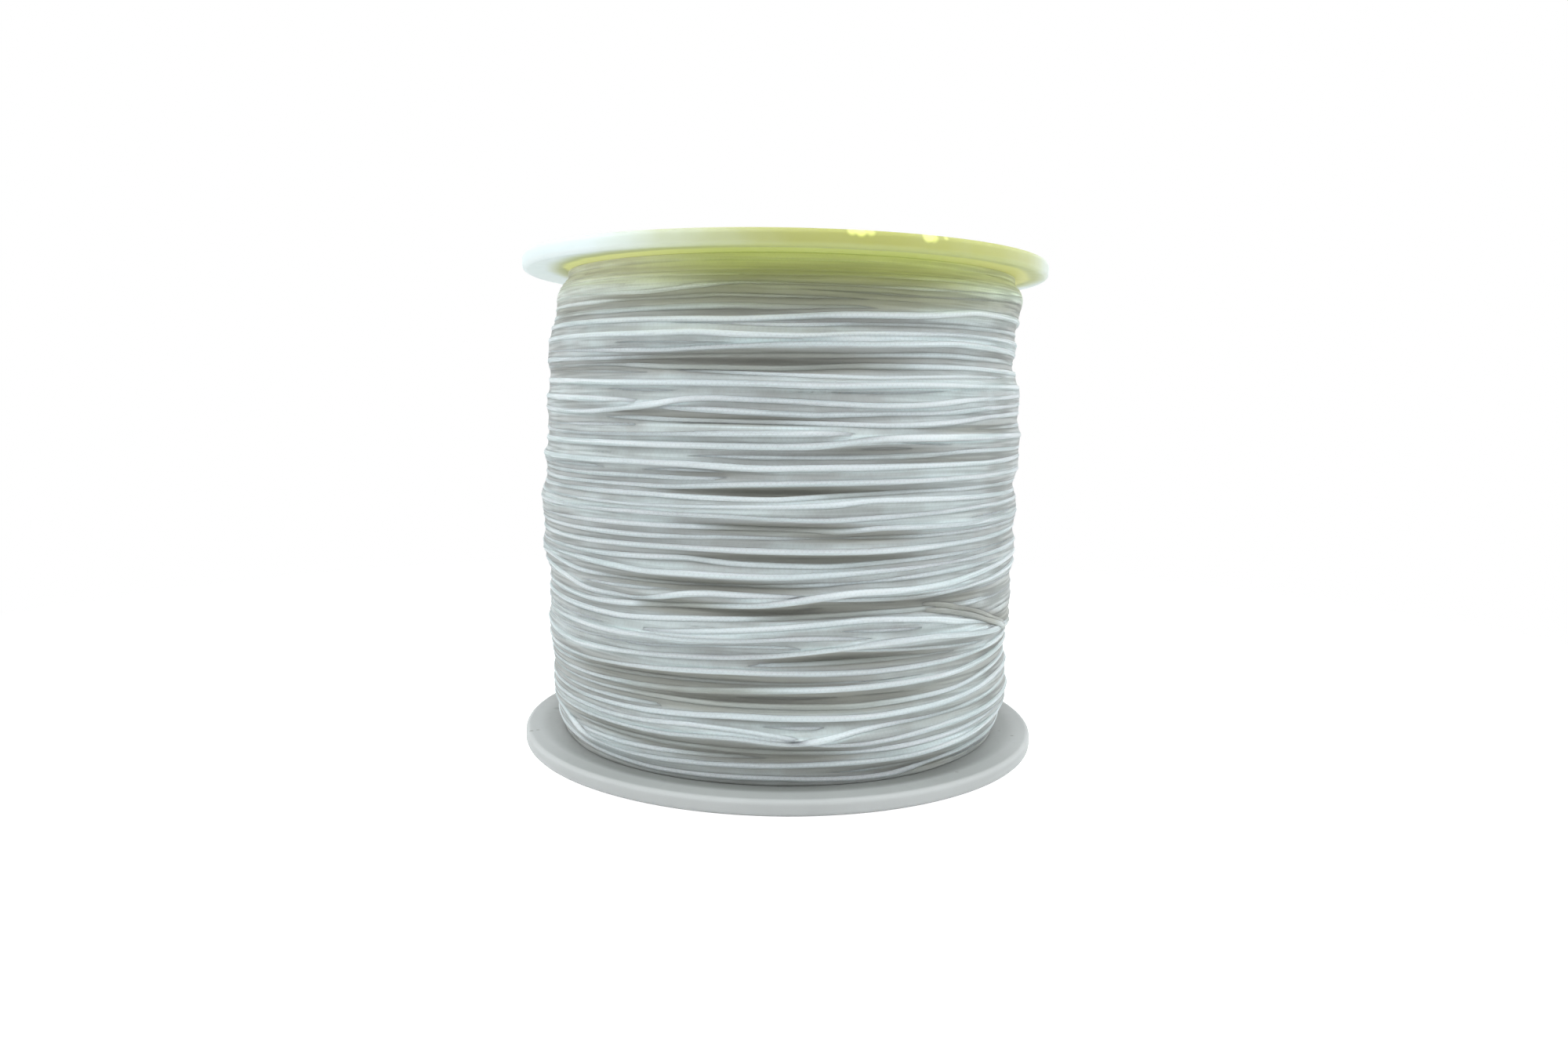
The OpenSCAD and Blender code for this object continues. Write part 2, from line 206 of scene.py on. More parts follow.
outerRoutes = [
    [(-165, 56.6), (-90, 56.5), (-15, 56.6)],
    [(-165, 54.9), (-120, 54.9), (-90, 54.8), (-15, 55.2)],
    [(-165, 53.6), (-120, 53.4), (-110, 53.8), (-100, 54.1), (-80, 54.0), (-60, 53.9), (-35, 54.3),
     (-15, 54.8)],
    [(-165, 50.3), (-120, 50.4), (-100, 50.3), (-90, 50.6), (-80, 51.0), (-60, 51.3), (-45, 52.0),
     (-15, 52.0)],
    [(-165, 48.9), (-120, 48.9), (-108, 49.05), (-98, 48.8), (-85, 48.75), (-75, 49.1), (-50, 49.5),
     (-15, 49.3)],
    [(-165, 47.55), (-125, 47.35), (-115, 47.4), (-105, 47.7), (-88, 48.1), (-72, 48.2), (-50, 48.6),
     (-15, 48.2)],
    [(-165, 44.2), (-130, 43.9), (-100, 44.0), (-80, 43.9), (-60, 44.2), (-15, 44.25)],
    [(-165, 41.1), (-145, 40.7), (-135, 40.8), (-130, 41.1), (-122, 41.5), (-115, 41.9), (-111, 42.3),
     (-105, 42.5), (-90, 42.3), (-72, 41.9), (-62, 42.0), (-48, 42.6), (-30, 43.0), (-15, 43.4)],
    [(-165, 38.6), (-140, 38.5), (-110, 38.85), (-90, 39.0), (-80, 39.1), (-70, 38.6), (-55, 38.2),
     (-15, 39.0)],
    [(-165, 37.4), (-115, 37.6), (-90, 37.7), (-84, 37.8), (-79, 38.1), (-74, 38.5), (-65, 38.7),
     (-15, 38.7)],
    [(-165, 36.3), (-140, 36.2), (-105, 36.6), (-75, 36.6), (-60, 36.9), (-48, 37.3), (-15, 37.3)],
    [(-165, 35.6), (-110, 35.75), (-95, 35.4), (-80, 35.6), (-40, 35.8), (-15, 36.2)],
    [(-165, 33.3), (-150, 33.1), (-115, 33.3), (-100, 33.8), (-90, 34.0), (-60, 34.3), (-15, 34.7)],
    [(-165, 31.3), (-120, 31.1), (-105, 31.3), (-90, 31.5), (-80, 31.8), (-72, 32.2), (-55, 32.2),
     (-15, 32.0)],
    [(-165, 30.4), (-110, 30.6), (-100, 30.7), (-80, 30.3), (-70, 30.5), (-40, 31.0), (-15, 31.1)],
    [(-165, 28.9), (-135, 29.2), (-103, 29.4), (-78, 29.1), (-70, 29.5), (-45, 29.3), (-15, 29.6)],
    [(-165, 26.8), (-140, 26.8), (-110, 27.1), (-70, 27.05), (-40, 27.4), (-15, 27.9)],
    [(-165, 24.9), (-140, 24.7), (-119, 24.3), (-110, 24.4), (-90, 24.4), (-60, 25.0), (-40, 25.5),
     (-15, 26.0)],
    [(-168, 24.1), (-158, 24.3), (-152, 24.0), (-145, 23.5), (-140, 23.2), (-112, 23.1), (-80, 23.7),
     (-40, 24.7), (-15, 25.1)],
    [(-160, 22.9), (-150, 22.4), (-145, 22.1), (-140, 21.6), (-135, 21.3), (-122, 21.3), (-116, 21.7),
     (-110, 22.2), (-105, 22.4), (-80, 22.2), (-60, 22.0), (-15, 23.4)],
    [(-165, 20.6), (-135, 20.3), (-115, 20.8), (-105, 21.2), (-95, 21.4), (-90, 21.7), (-85, 22.1),
     (-75, 22.8), (-62, 22.8), (-50, 23.1), (-35, 24.0), (-28, 24.4), (-15, 24.7)],
    [(-165, 18.3), (-125, 18.0), (-115, 18.1), (-108, 18.35), (-90, 19.1), (-80, 19.5), (-72, 19.8),
     (-65, 19.7), (-55, 19.3), (-50, 18.8), (-44, 18.3), (-38, 17.8), (-30, 16.8), (-15, 16.0)],
    [(-165, 17.4), (-130, 17.4), (-110, 17.6), (-90, 18.1), (-82, 18.1), (-76, 17.9), (-66, 17.5),
     (-50, 17.9), (-40, 17.2), (-15, 16.4)],
    [(-165, 13.4), (-140, 13.4), (-120, 13.9), (-100, 14.3), (-70, 14.05), (-50, 14.3), (-42, 14.7),
     (-35, 15.3), (-27, 15.9), (-15, 16.1)],
    [(-165, 11.4), (-130, 11.6), (-110, 11.8), (-100, 12.1), (-90, 12.3), (-50, 12.7), (-15, 14.0)],
    [(-165, 8.9), (-140, 8.8), (-120, 9.0), (-100, 9.5), (-70, 9.3), (-50, 9.7), (-25, 10.8), (-15, 11.0)],
    [(-165, 7.8), (-130, 7.8), (-110, 8.2), (-100, 8.05), (-92, 7.75), (-86, 7.3), (-80, 6.7), (-72, 6.4),
     (-65, 6.6), (-50, 7.2), (-15, 7.9)],
    [(-165, 6.9), (-115, 6.9), (-102, 7.4), (-97, 7.4), (-88, 7.0), (-84, 7.1), (-78, 7.6), (-72, 8.0),
     (-65, 8.3), (-45, 8.6), (-15, 9.4)],
    [(-165, 5.9), (-155, 5.8), (-150, 5.3), (-140, 4.2), (-130, 3.8), (-120, 3.7), (-80, 4.3), (-60, 4.5),
     (-40, 5.2), (-15, 6.3)],
    [(-165, 3.9), (-150, 3.4), (-140, 3.0), (-120, 2.5), (-90, 2.7), (-70, 2.3), (-62, 2.3), (-52, 3.0),
     (-35, 3.6), (-15, 3.8)],
    [(-168, 15.7), (-160, 15.4), (-140, 15.0), (-120, 15.4), (-100, 15.75), (-90, 16.2), (-80, 16.9),
     (-72, 17.4), (-55, 17.5), (-45, 17.1), (-35, 16.8), (-15, 16.5), (-6, 16.3)],
]
# The line's outer end, doubled back: up over the turns from the right edge, and under one of them
tuckedRoutes = [
    [(-74, 21.2), (-66, 21.1), (-58, 20.9), (-52, 20.6), (-45, 19.8), (-40, 19.1), (-35, 18.3), (-30, 17.4),
     (-25, 16.7), (-20, 16.1), (-8, 15.7)],
    [(-74, 20.6), (-66, 20.5), (-58, 20.3), (-52, 20.0), (-45, 19.2), (-40, 18.5), (-35, 17.7), (-30, 16.9),
     (-25, 16.2), (-20, 15.8), (-9, 15.5)],
]
# Places in front where the turns part or heap up: (angle, height, half width in degrees, half height, how far
# outward)
swells = [
    (-97, 46.1, 16, 0.75, -0.8), (-90, 33.0, 14, 0.45, -0.65), (-86, 26.2, 16, 0.5, -0.5),
    (-90, 20.6, 12, 0.5, -0.6), (-62, 21.5, 15, 0.55, -0.4), (-113, 20.9, 7, 0.45, -0.5),
    (-110, 12.9, 18, 0.5, -0.65), (-94, 10.9, 18, 0.6, -0.8), (-95, 5.3, 15, 0.5, -0.3),
    (-106, 23.2, 13, 0.45, -0.6), (-98, 40.2, 14, 0.4, -0.45), (-74, 28.5, 8, 0.35, -0.45),
    (-90, 29.4, 12, 0.4, -0.6), (-75, 15.7, 13, 0.5, -0.5), (-84, 53.4, 20, 0.9, -0.5),
    (-72, 55.6, 16, 0.5, -0.25), (-100, 51.1, 12, 0.4, -0.1), (-148, 51.7, 8, 0.5, -0.15),
    (-150, 45.6, 12, 0.5, -0.2), (-45, 39.5, 13, 0.4, -0.3), (-128, 5.9, 12, 0.5, -0.1),
    (-118, 52.8, 8, 0.4, -0.3), (-128, 41.0, 12, 0.4, -0.2), (-55, 36.2, 12, 0.4, -0.2),
    (-106, 34.8, 7, 0.3, -0.2), (-70, 37.5, 10, 0.35, -0.15), (-54, 2.9, 8, 0.5, -0.3),
    (-103, 48.9, 18, 0.6, 0.9), (-88, 44.3, 18, 0.5, 0.5), (-92, 31.1, 13, 0.55, 0.65),
    (-68, 31.9, 15, 0.5, 0.6), (-101, 18.2, 17, 0.8, 0.8), (-128, 16.3, 22, 0.9, 0.5),
    (-73, 17.5, 10, 0.5, 0.5), (-64, 19.2, 14, 0.6, 0.3), (-96, 7.8, 15, 0.5, 0.6),
    (-84, 7.3, 9, 0.45, 0.6), (-100, 38.9, 26, 0.5, 0.5), (-118, 8.1, 10, 0.6, 0.3),
    (-52, 42.4, 10, 0.6, 0.35), (-140, 35.9, 20, 0.8, 0.35), (-140, 4.5, 13, 0.6, 0.4),
    (-48, 4.8, 15, 0.6, 0.35), (-45, 51.4, 14, 0.5, 0.3), (-75, 27.2, 14, 0.35, 0.35),
    (-32, 15.2, 8, 0.4, 0.35), (-124, 24.6, 12, 0.35, 0.1), (-138, 54.1, 18, 0.5, 0.4),
    (-148, 42.3, 16, 0.8, 0.3), (-50, 44.6, 16, 0.5, 0.25), (-96, 24.5, 20, 0.4, 0.4),
    (-130, 48.4, 12, 0.7, 0.3), (-60, 23.1, 20, 0.4, 0.15), (-135, 30.9, 25, 0.5, 0.25),
    (-62, 40.2, 12, 0.4, 0.2),
]

degreesPerStep = 0.75
columns = 480
rowStep = 0.05
rows = int(round((winding["high"] - winding["low"]) / rowStep)) + 1
rowHeights = winding["low"] + rowStep * np.arange(rows)
gridAngles = (np.arange(columns) * degreesPerStep)[:, None]


def turnedFrom(middle, angles):
    # Degrees from a middle angle, -180 to 180
    return (angles - middle + 180.0) % 360.0 - 180.0


def bell(across, upward=0.0):
    # exp(-(across^2 + upward^2) / 2): 1 in the middle
    return np.exp(-0.5 * across ** 2 - 0.5 * upward ** 2)


def eased(share):
    # 3 s^2 - 2 s^3: the share with soft ends
    return share * share * (3.0 - 2.0 * share)


def within(angles, span):
    # 1 inside a span, 0 outside it: (angle - start) / grows times (end - angle) / fades, each from 0 to 1
    start, grows, end, fades = span
    return np.clip((angles - start) / grows, 0, 1) * np.clip((end - angles) / fades, 0, 1)


def edgeRadius(angles, heights):
    # Outer radius of the winding: given at its left and right edges, and between them by the angle's cosine
    left = np.interp(heights, winding["edgeHeights"], winding["edgeLeft"])
    right = np.interp(heights, winding["edgeHeights"], winding["edgeRight"])
    return (left + right) / 2 + (right - left) / 2 * np.cos(np.radians(angles))


def swellAt(angles, heights):
    # The sum of the listed places, each a bell over the angle and the height
    total = 0.0
    for angle, height, wide, tall, outward in swells:
        total = total + outward * bell(turnedFrom(angle, angles) / wide, (heights - height) / tall)
    return total


def pulledIn(angles, heights):
    # How far the surface lies below the wound one: the listed places, and what the made-fast end draws in, a
    # dent where it is fast and a shallow groove along it
    middle, height = winding["fastAt"]
    turned = turnedFrom(middle, angles)
    deep, wide, tall = winding["dent"]
    dent = deep * bell(turned / wide, (heights - height) / tall)
    route = np.array(tuckedRoutes[0])
    line = np.interp(turned + middle, route[:, 0], route[:, 1])
    deep, below, tall = winding["groove"]
    groove = deep * within(turned, winding["grooveSpan"]) * bell((heights - line + below) / tall)
    return dent + groove - winding["swelling"] * swellAt(angles, heights)


def bellWeights(width, step):
    # Weights of a bell-weighted mean, out to three widths to each side
    reach = max(1, int(round(3 * width / step)))
    weights = bell(np.arange(-reach, reach + 1) * step / width)
    return reach, weights / weights.sum()


def blurred(values, degrees):
    # Bell-weighted mean along the line, with the end values carried on past the ends
    reach, weights = bellWeights(degrees, degreesPerStep)
    padded = np.concatenate([np.full(reach, values[0]), values, np.full(reach, values[-1])])
    return np.convolve(padded, weights, mode="valid")


def softened(surface, upward, sideways):
    # The wound surface after a bell-weighted mean up the winding (mm) and round it (degrees)
    reach, weights = bellWeights(upward, rowStep)
    padded = np.pad(surface, ((0, 0), (reach, reach)), mode="edge")
    result = sum(w * padded[:, k:k + surface.shape[1]] for k, w in enumerate(weights))
    reach, weights = bellWeights(sideways, degreesPerStep)
    return sum(w * np.roll(result, k - reach, axis=0) for k, w in enumerate(weights))


def columnsAt(along):
    return np.round(along / degreesPerStep).astype(int) % columns


def rowsAt(level):
    return np.clip(np.round((level - winding["low"]) / rowStep).astype(int), 0, rows - 1)


def valueAt(surface, along, level):
    return surface[columnsAt(along), rowsAt(level)]


def waves(parts, phases, turn, level):
    # The sum of share * sin(round * turn + up * level + phase)
    return sum(share * np.sin(aroundIt * turn + upIt * level + phase)
               for (aroundIt, upIt, share), phase in zip(parts, phases))


def joinedRoutes(routes, wander, seed):
    # One long angle for the whole lay: each turn's listed points, a turn further on each time, then smoothed
    angles = np.array([angle + 360.0 * turn for turn, route in enumerate(routes) for angle, _ in route])
    heights = np.array([height for route in routes for _, height in route])
    start = math.ceil((angles[0] - stray["lead"]) / degreesPerStep) * degreesPerStep
    along = np.arange(start, angles[-1] + stray["trail"], degreesPerStep)
    level = blurred(np.interp(along, angles, heights), stray["blur"])
    # Round the back the turns stray together, each also a little by itself, and not at all in front
    fromBack = np.abs(turnedFrom(90.0, along))
    share = eased(np.clip((stray["reach"] - fromBack) / stray["grows"], 0.0, 1.0))
    phases = np.random.default_rng(seed).uniform(0.0, 2 * math.pi, 6)
    together = waves(stray["together"], phases[:3], np.radians(along), level)
    alone = waves(stray["alone"], phases[3:], np.radians(along), level)
    level = level + wander * share * (stray["shares"][0] * together + stray["shares"][1] * alone)
    lowest, highest = winding["low"] + winding["endMargin"], winding["high"] - winding["endMargin"]
    return along, np.clip(level, lowest, highest)


def windOn(surface, along, level):
    # Each turn lies as near the axis as the line under it lets it: the greatest of (radius below + lift of
    # the soft line at that offset). Tension draws it straight over the hollows, and it joins the surface.
    half = int(winding["lineRadius"] / rowStep)
    offsets = np.arange(-half, half + 1)
    profile = np.sqrt(np.maximum(1.0 - (offsets * rowStep / winding["lineRadius"]) ** 2, 0.0))
    found = np.zeros(len(along))
    for first in range(0, len(along), columns):
        part = slice(first, min(first + columns, len(along)))
        column = columnsAt(along[part])[:, None]
        cells = np.clip(rowsAt(level[part])[:, None] + offsets, 0, rows - 1)
        rest = (surface[column, cells] + profile * winding["settled"]).max(axis=1)
        before = found[max(0, first - tension["carried"]):first]
        whole = np.concatenate([before, rest])
        taut = whole
        for _ in range(tension["passes"]):
            taut = np.maximum(whole, blurred(taut, tension["width"]))
        found[part] = blurred(taut, tension["after"])[len(before):]
        laid = found[part][:, None] + profile * winding["lineRadius"]
        surface[column, cells] = np.maximum(surface[column, cells], laid)
    return blurred(found, tension["whole"])


def calm(angles, heights):
    # How flat the turns lie, 0 to 1: most in the one listed place, and nearly so next to the upper flange
    angle, height, wide, tall = winding["calmAt"]
    away = (turnedFrom(angle, angles) / wide) ** 2 + ((heights - height) / tall) ** 2
    above = np.clip((heights - winding["calmAbove"]) / winding["calmGrows"], 0.0, 1.0)
    return np.maximum(winding["calmShare"] * np.exp(-away ** 2), winding["calmAboveShare"] * above)


def looseness(angles, heights):
    # The share of a turn's own rise that is left: least at the two sides, more by the angle's squared sine
    share = winding["evenness"] + winding["evennessAhead"] * np.sin(np.radians(angles)) ** 2
    return share * (1.0 - calm(angles, heights))


def evened(share, broad, tops):
    # The soft heap pressed even: broad surface + share * (height over it)
    return broad + share * (tops - broad)


def tubeAlong(path, radius, sides, outward, flatness=1.0):
    # An oval carried along the path: centre + radius * (cos a * outward + flatness * sin a * across)
    ahead = np.gradient(path, axis=0)
    ahead /= np.linalg.norm(ahead, axis=1, keepdims=True)
    outward = outward - ahead * (outward * ahead).sum(axis=1, keepdims=True)
    outward /= np.linalg.norm(outward, axis=1, keepdims=True)
    across = np.cross(ahead, outward)
    turn = np.linspace(0.0, 2 * np.pi, sides, endpoint=False)[None, :, None]
    radius = np.broadcast_to(np.asarray(radius, float), (len(path),))
    ring = np.cos(turn) * outward[:, None, :] + flatness * np.sin(turn) * across[:, None, :]
    points = path[:, None, :] + radius[:, None, None] * ring
    count = len(path)
    i, j = np.meshgrid(np.arange(count - 1), np.arange(sides), indexing="ij")
    k = (j + 1) % sides
    faces = np.stack([i * sides + j, (i + 1) * sides + j, (i + 1) * sides + k, i * sides + k], axis=-1)
    # Both ends are closed by a fan of quads that fold on the centre point
    side = np.arange(0, sides, 2)
    nextSide, afterSide = (side + 1) % sides, (side + 2) % sides
    last = (count - 1) * sides
    pole = np.full(len(side), count * sides)
    startFan = np.stack([pole, side, nextSide, afterSide], axis=-1)
    endFan = np.stack([pole + 1, last + afterSide, last + nextSide, last + side], axis=-1)
    points = np.concatenate([points.reshape(-1, 3), path[:1], path[-1:]])
    length = np.concatenate([[0.0], np.cumsum(np.linalg.norm(np.diff(path, axis=0), axis=1))])
    around = np.stack([j, j, j + 1, j + 1], axis=-1) / sides
    onward = np.stack([length[i], length[i + 1], length[i + 1], length[i]], axis=-1)
    uv = np.zeros((faces.size // 4 + 2 * len(side), 4, 2))
    uv[:faces.size // 4] = np.stack([onward, around], axis=-1).reshape(-1, 4, 2)
    uv[-len(side):, :, 0] = length[-1]
    return points, np.concatenate([faces.reshape(-1, 4), startFan, endFan]), uv, length[-1]


def thicknessAlong(count):
    # The soft line is a little thicker here and thinner there: smoothed random steps, about a tenth at most,
    # and none at the ends, where two pieces of it meet
    random = np.random.default_rng(count)
    steps = np.arange(count)
    total = 0.0
    for share, apart in winding["uneven"]:
        knots = random.uniform(-1.0, 1.0, count // apart + 3)
        total = total + share * np.interp(steps / apart, np.arange(len(knots)), knots)
    inside = np.clip(np.minimum(steps, steps[::-1]) / winding["unevenEnds"], 0.0, 1.0)
    return winding["lineRadius"] * (1.0 + inside * total)


def addPiece(name, points, faces, replaces, uv, shelter, crest):
    # A piece of line from whole arrays: points in mm, faces of four corners with their UV, and for each point
    # its shelter (how deep it lies, which sets its painted shade) and its crest (how clean it is and how much
    # painted highlight it takes)
    mesh = bpy.data.meshes.new(name)
    mesh.vertices.add(len(points))
    mesh.vertices.foreach_set("co", (points * mm).astype(np.float32).ravel())
    mesh.loops.add(faces.size)
    mesh.loops.foreach_set("vertex_index", faces.astype(np.int32).ravel())
    mesh.polygons.add(len(faces))
    mesh.polygons.foreach_set("loop_start", np.arange(0, faces.size, 4, dtype=np.int32))
    mesh.update(calc_edges=True)
    mesh.shade_smooth()
    mesh.materials.append(lineMaterial)
    made = bpy.data.objects.new(name, mesh)
    bpy.context.scene.collection.objects.link(made)
    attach(made, "root")
    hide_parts(*replaces)
    mesh.uv_layers.new(name="lineLay").data.foreach_set("uv", uv.astype(np.float32).ravel())
    for label, values in (("shelter", shelter), ("crest", crest)):
        data = mesh.attributes.new(label, "FLOAT", "POINT").data
        data.foreach_set("value", values.astype(np.float32).ravel())
    print(name, len(faces) * 2, "triangles")


def addLine(name, path, sides, shelter, replaces, startLength, litAndClean):
    # The round braid along its path, with its length and the way round as its UV map, in beads and in turns
    radius, outward = thicknessAlong(len(path)), path * np.array([1.0, 1.0, 0.0])
    points, faces, uv, length = tubeAlong(path, radius, sides, outward, winding["flatness"])
    uv[:, :, 0] = (uv[:, :, 0] + startLength) / winding["beadPitch"]
    # The side of the turn that is clean and takes a painted highlight: the cosine of the way round it, from
    # just above its outermost line
    turn = np.linspace(0.0, 2 * np.pi, sides, endpoint=False)
    shown = litAndClean * (1.0 - calm(np.degrees(np.arctan2(path[:, 1], path[:, 0])), path[:, 2]))
    crest = np.append(shown[:, None] * np.cos(turn + winding["crestTurn"]), [0.0, 0.0])
    shelter = np.concatenate([np.repeat(shelter, sides), shelter[:1], shelter[-1:]])
    addPiece(name, points, faces, replaces, uv, shelter, crest)
    return startLength + length


# Shader helpers; from maths on, each gives the socket that its node puts out
def newMaterial(name):
    made = bpy.data.materials.new(name)
    made.use_nodes = True
    made.node_tree.nodes.clear()
    return made, made.node_tree


def addNode(tree, kind, inputs=None, **settings):
    # Sockets among the inputs are linked, and everything else is set as their value
    made = tree.nodes.new(kind)
    for key, value in settings.items():
        setattr(made, key, value)
    for key, value in (inputs or {}).items():
        if isinstance(value, bpy.types.NodeSocket):
            tree.links.new(value, made.inputs[key])
        else:
            made.inputs[key].default_value = value
    return made


def newGroup(name, inputs, outputs):
    made = bpy.data.node_groups.new(name, "ShaderNodeTree")
    for label, kind, value in inputs:
        socket = made.interface.new_socket(label, in_out="INPUT", socket_type="NodeSocket" + kind)
        if value is not None:
            socket.default_value = value
    for label, kind in outputs:
        made.interface.new_socket(label, in_out="OUTPUT", socket_type="NodeSocket" + kind)
    return made, made.nodes.new("NodeGroupInput").outputs


def placeGroup(tree, group, inputs):
    return addNode(tree, "ShaderNodeGroup", inputs, node_tree=group).outputs


def addSurface(tree, inputs):
    shader = addNode(tree, "ShaderNodeBsdfPrincipled", inputs)
    addNode(tree, "ShaderNodeOutputMaterial", {0: shader.outputs[0]})


def maths(tree, operation, a, b=0.0, c=0.0, clamp=False):
    inputs = {0: a, 1: b, 2: c}
    return addNode(tree, "ShaderNodeMath", inputs, operation=operation, use_clamp=clamp).outputs[0]


def times(tree, a, b):
    return maths(tree, "MULTIPLY", a, b)


def plus(tree, a, b):
    return maths(tree, "ADD", a, b)


def minus(tree, a, b):
    return maths(tree, "SUBTRACT", a, b)


def mixColour(tree, share, a, b, blend="MIX"):
    inputs = {0: share, 6: a, 7: b}
    return addNode(tree, "ShaderNodeMix", inputs, data_type="RGBA", blend_type=blend).outputs[2]


def mixValue(tree, share, a, b):
    return addNode(tree, "ShaderNodeMix", {0: share, 2: a, 3: b}, data_type="FLOAT").outputs[0]


def ramp(tree, value, low, high, toLow=0.0, toHigh=1.0, unit=1.0, kind="SMOOTHSTEP"):
    # From toLow at low to toHigh at high, the first two in that unit
    inputs = {0: value, 1: low * unit, 2: high * unit, 3: toLow, 4: toHigh}
    return addNode(tree, "ShaderNodeMapRange", inputs, interpolation_type=kind).outputs[0]


def noise(tree, where, scale, detail, distortion=0.0):
    inputs = {"Vector": where, "Scale": scale, "Detail": detail, "Distortion": distortion}
    return addNode(tree, "ShaderNodeTexNoise", inputs).outputs[0]


def objectPlace(tree):
    return addNode(tree, "ShaderNodeTexCoord").outputs["Object"]


def splitUp(tree, where):
    return addNode(tree, "ShaderNodeSeparateXYZ", {0: where}).outputs


def stretched(tree, where, scale):
    return addNode(tree, "ShaderNodeMapping", {"Vector": where, "Scale": scale}).outputs[0]


def lengthOf(tree, where):
    return addNode(tree, "ShaderNodeVectorMath", {0: where}, operation="LENGTH").outputs["Value"]


def attributeOf(tree, name):
    return addNode(tree, "ShaderNodeAttribute", attribute_name=name).outputs["Fac"]


def bumpOf(tree, height, strength, distance):
    inputs = {"Height": height, "Strength": strength, "Distance": distance}
    return addNode(tree, "ShaderNodeBump", inputs).outputs[0]


def seenMask(tree):
    # 1 for what is seen, straight or in gloss or through glass; 0 for the light that falls on things
    paths = addNode(tree, "ShaderNodeLightPath").outputs
    through = maths(tree, "MAXIMUM", paths["Is Glossy Ray"], paths["Is Transmission Ray"])
    return maths(tree, "MAXIMUM", paths["Is Camera Ray"], through)


def srgb(r, g, b):
    # A screen colour, 0 to 255, as the linear colour that a shader takes
    c = np.array([r, g, b]) / 255.0
    c = np.where(c <= 0.04045, c / 12.92, ((c + 0.055) / 1.055) ** 2.4)
    return (float(c[0]), float(c[1]), float(c[2]), 1.0)


def markMask(tree, where, marks):
    # The sum of small round marks with soft ends, each strength * (1 at the middle, 0 from its radius on)
    total = None
    for x, y, z, radius, strength in marks:
        inputs = {0: where, 1: (x * mm, y * mm, z * mm)}
        away = addNode(tree, "ShaderNodeVectorMath", inputs, operation="DISTANCE").outputs["Value"]
        mark = ramp(tree, away, radius, radius * 0.4, 0.0, strength, mm)
        total = plus(tree, total, mark) if total else mark
    return total


# Painted light of the label through the thin flange: where it falls on the plastic and on the turns just
# below it, as a tint of their colour and as a glow, with plainer painted glows beside it and towards the
# left. Pairs are from nothing to the full tint, in mm.
labelTint = {
    "middle": (1.1, -2.6),  # near the label's own middle, towards the front, and for the rim
    "rimMiddle": (1.5, -3.7),
    "rim": (30.4, 27.9),
    "under": (28.6, 27.6),
    "below": (57.8, 57.4),  # height of the underside
    "underLeft": (-26.2, -25.4),  # left end of the tint there
    "jitter": (140.0, 1.2),  # scale of the noise that frays its edges, and how far, in mm
    "line": (50.8, 56.8),  # height on the winding
    "lineMiddle": 4.0,  # to the right, where the tint on the winding is deepest, and its two ends
    "lineAside": (27.0, 8.0, 0.2, 1.0),
    "lineGlowAt": (53.8, 56.2),
    "leftGlowAt": (51.4, 55.0),
    "left": (-4.0, -20.0),  # from here to the left the light is stronger and plainer
    "crease": (28.6, 27.2),  # radius where the underside nears the winding
    "ends": (11.0, 25.0),  # to each side, where the light is paler
    "dark": (0.0, 0.0, 0.0, 1.0),
    "plain": (0.0, 0.03, 0.045, 1.0),
    "plainBelow": (0.03, 0.05, 0.055, 1.0),
    "glow": (0.125, 0.16, 0.05, 1.0),
    "creaseGlow": (0.13, 0.165, 0.05, 1.0),
    "endGlow": (0.2, 0.2, 0.09, 1.0),
    "leftGlow": (0.27, 0.285, 0.135, 1.0),
    "lineGlow": (0.14, 0.16, 0.065, 1.0),
    "lineLeftGlow": (0.16, 0.16, 0.125, 1.0),
}


def makeLabelTintGroup():
    # The distance from one middle gives the mask on the rim, from the other the mask on the underside, and
    # the height the mask on the winding. The glow is painted light: emission for what comes through by
    # itself.
    tree, start = newGroup("labelTint", [("Vector", "Vector", None)],
                           [("On Flange", "Float"), ("On Line", "Float"), ("Under Glow", "Color"),
                            ("Line Glow", "Color")])
    x, y, z = splitUp(tree, start["Vector"])
    scale, most = labelTint["jitter"]
    jitter = times(tree, minus(tree, noise(tree, start["Vector"], scale, 2.0), 0.5), most * mm)

    def grown(value, facts, kind="SMOOTHSTEP"):
        return ramp(tree, value, *labelTint[facts], unit=mm, kind=kind)

    def awayFrom(middle):
        fromX, fromY = minus(tree, x, middle[0] * mm), minus(tree, y, middle[1] * mm)
        flat = maths(tree, "SQRT", plus(tree, times(tree, fromX, fromX), times(tree, fromY, fromY)))
        return plus(tree, flat, jitter)

    def mixed(share, a, b):
        a, b = (labelTint[c] if isinstance(c, str) else c for c in (a, b))
        return mixColour(tree, share, a, b)

    rim = grown(awayFrom(labelTint["rimMiddle"]), "rim")
    below = grown(z, "below")
    under = times(tree, grown(awayFrom(labelTint["middle"]), "under"), grown(x, "underLeft"))
    under = times(tree, under, below)
    aside = maths(tree, "ABSOLUTE", minus(tree, x, labelTint["lineMiddle"] * mm))
    left = grown(x, "left")
    glow = mixed(grown(awayFrom((0.0, 0.0)), "crease"), "glow", "creaseGlow")
    glow = mixed(grown(maths(tree, "ABSOLUTE", x), "ends"), glow, "endGlow")
    glow = mixed(left, glow, "leftGlow")
    plain = mixed(below, mixed(rim, "plain", "dark"), "plainBelow")
    lineGlow = mixed(grown(z, "lineGlowAt", "LINEAR"), "dark", "lineGlow")
    leftGlow = mixed(grown(z, "leftGlowAt", "LINEAR"), "dark", "lineLeftGlow")
    addNode(tree, "NodeGroupOutput", {
        "On Flange": maths(tree, "MAXIMUM", rim, under),
        "On Line": times(tree, grown(z, "line", "LINEAR"), grown(aside, "lineAside")),
        "Under Glow": mixed(under, plain, glow),
        "Line Glow": mixed(left, lineGlow, leftGlow),
    })
    return tree


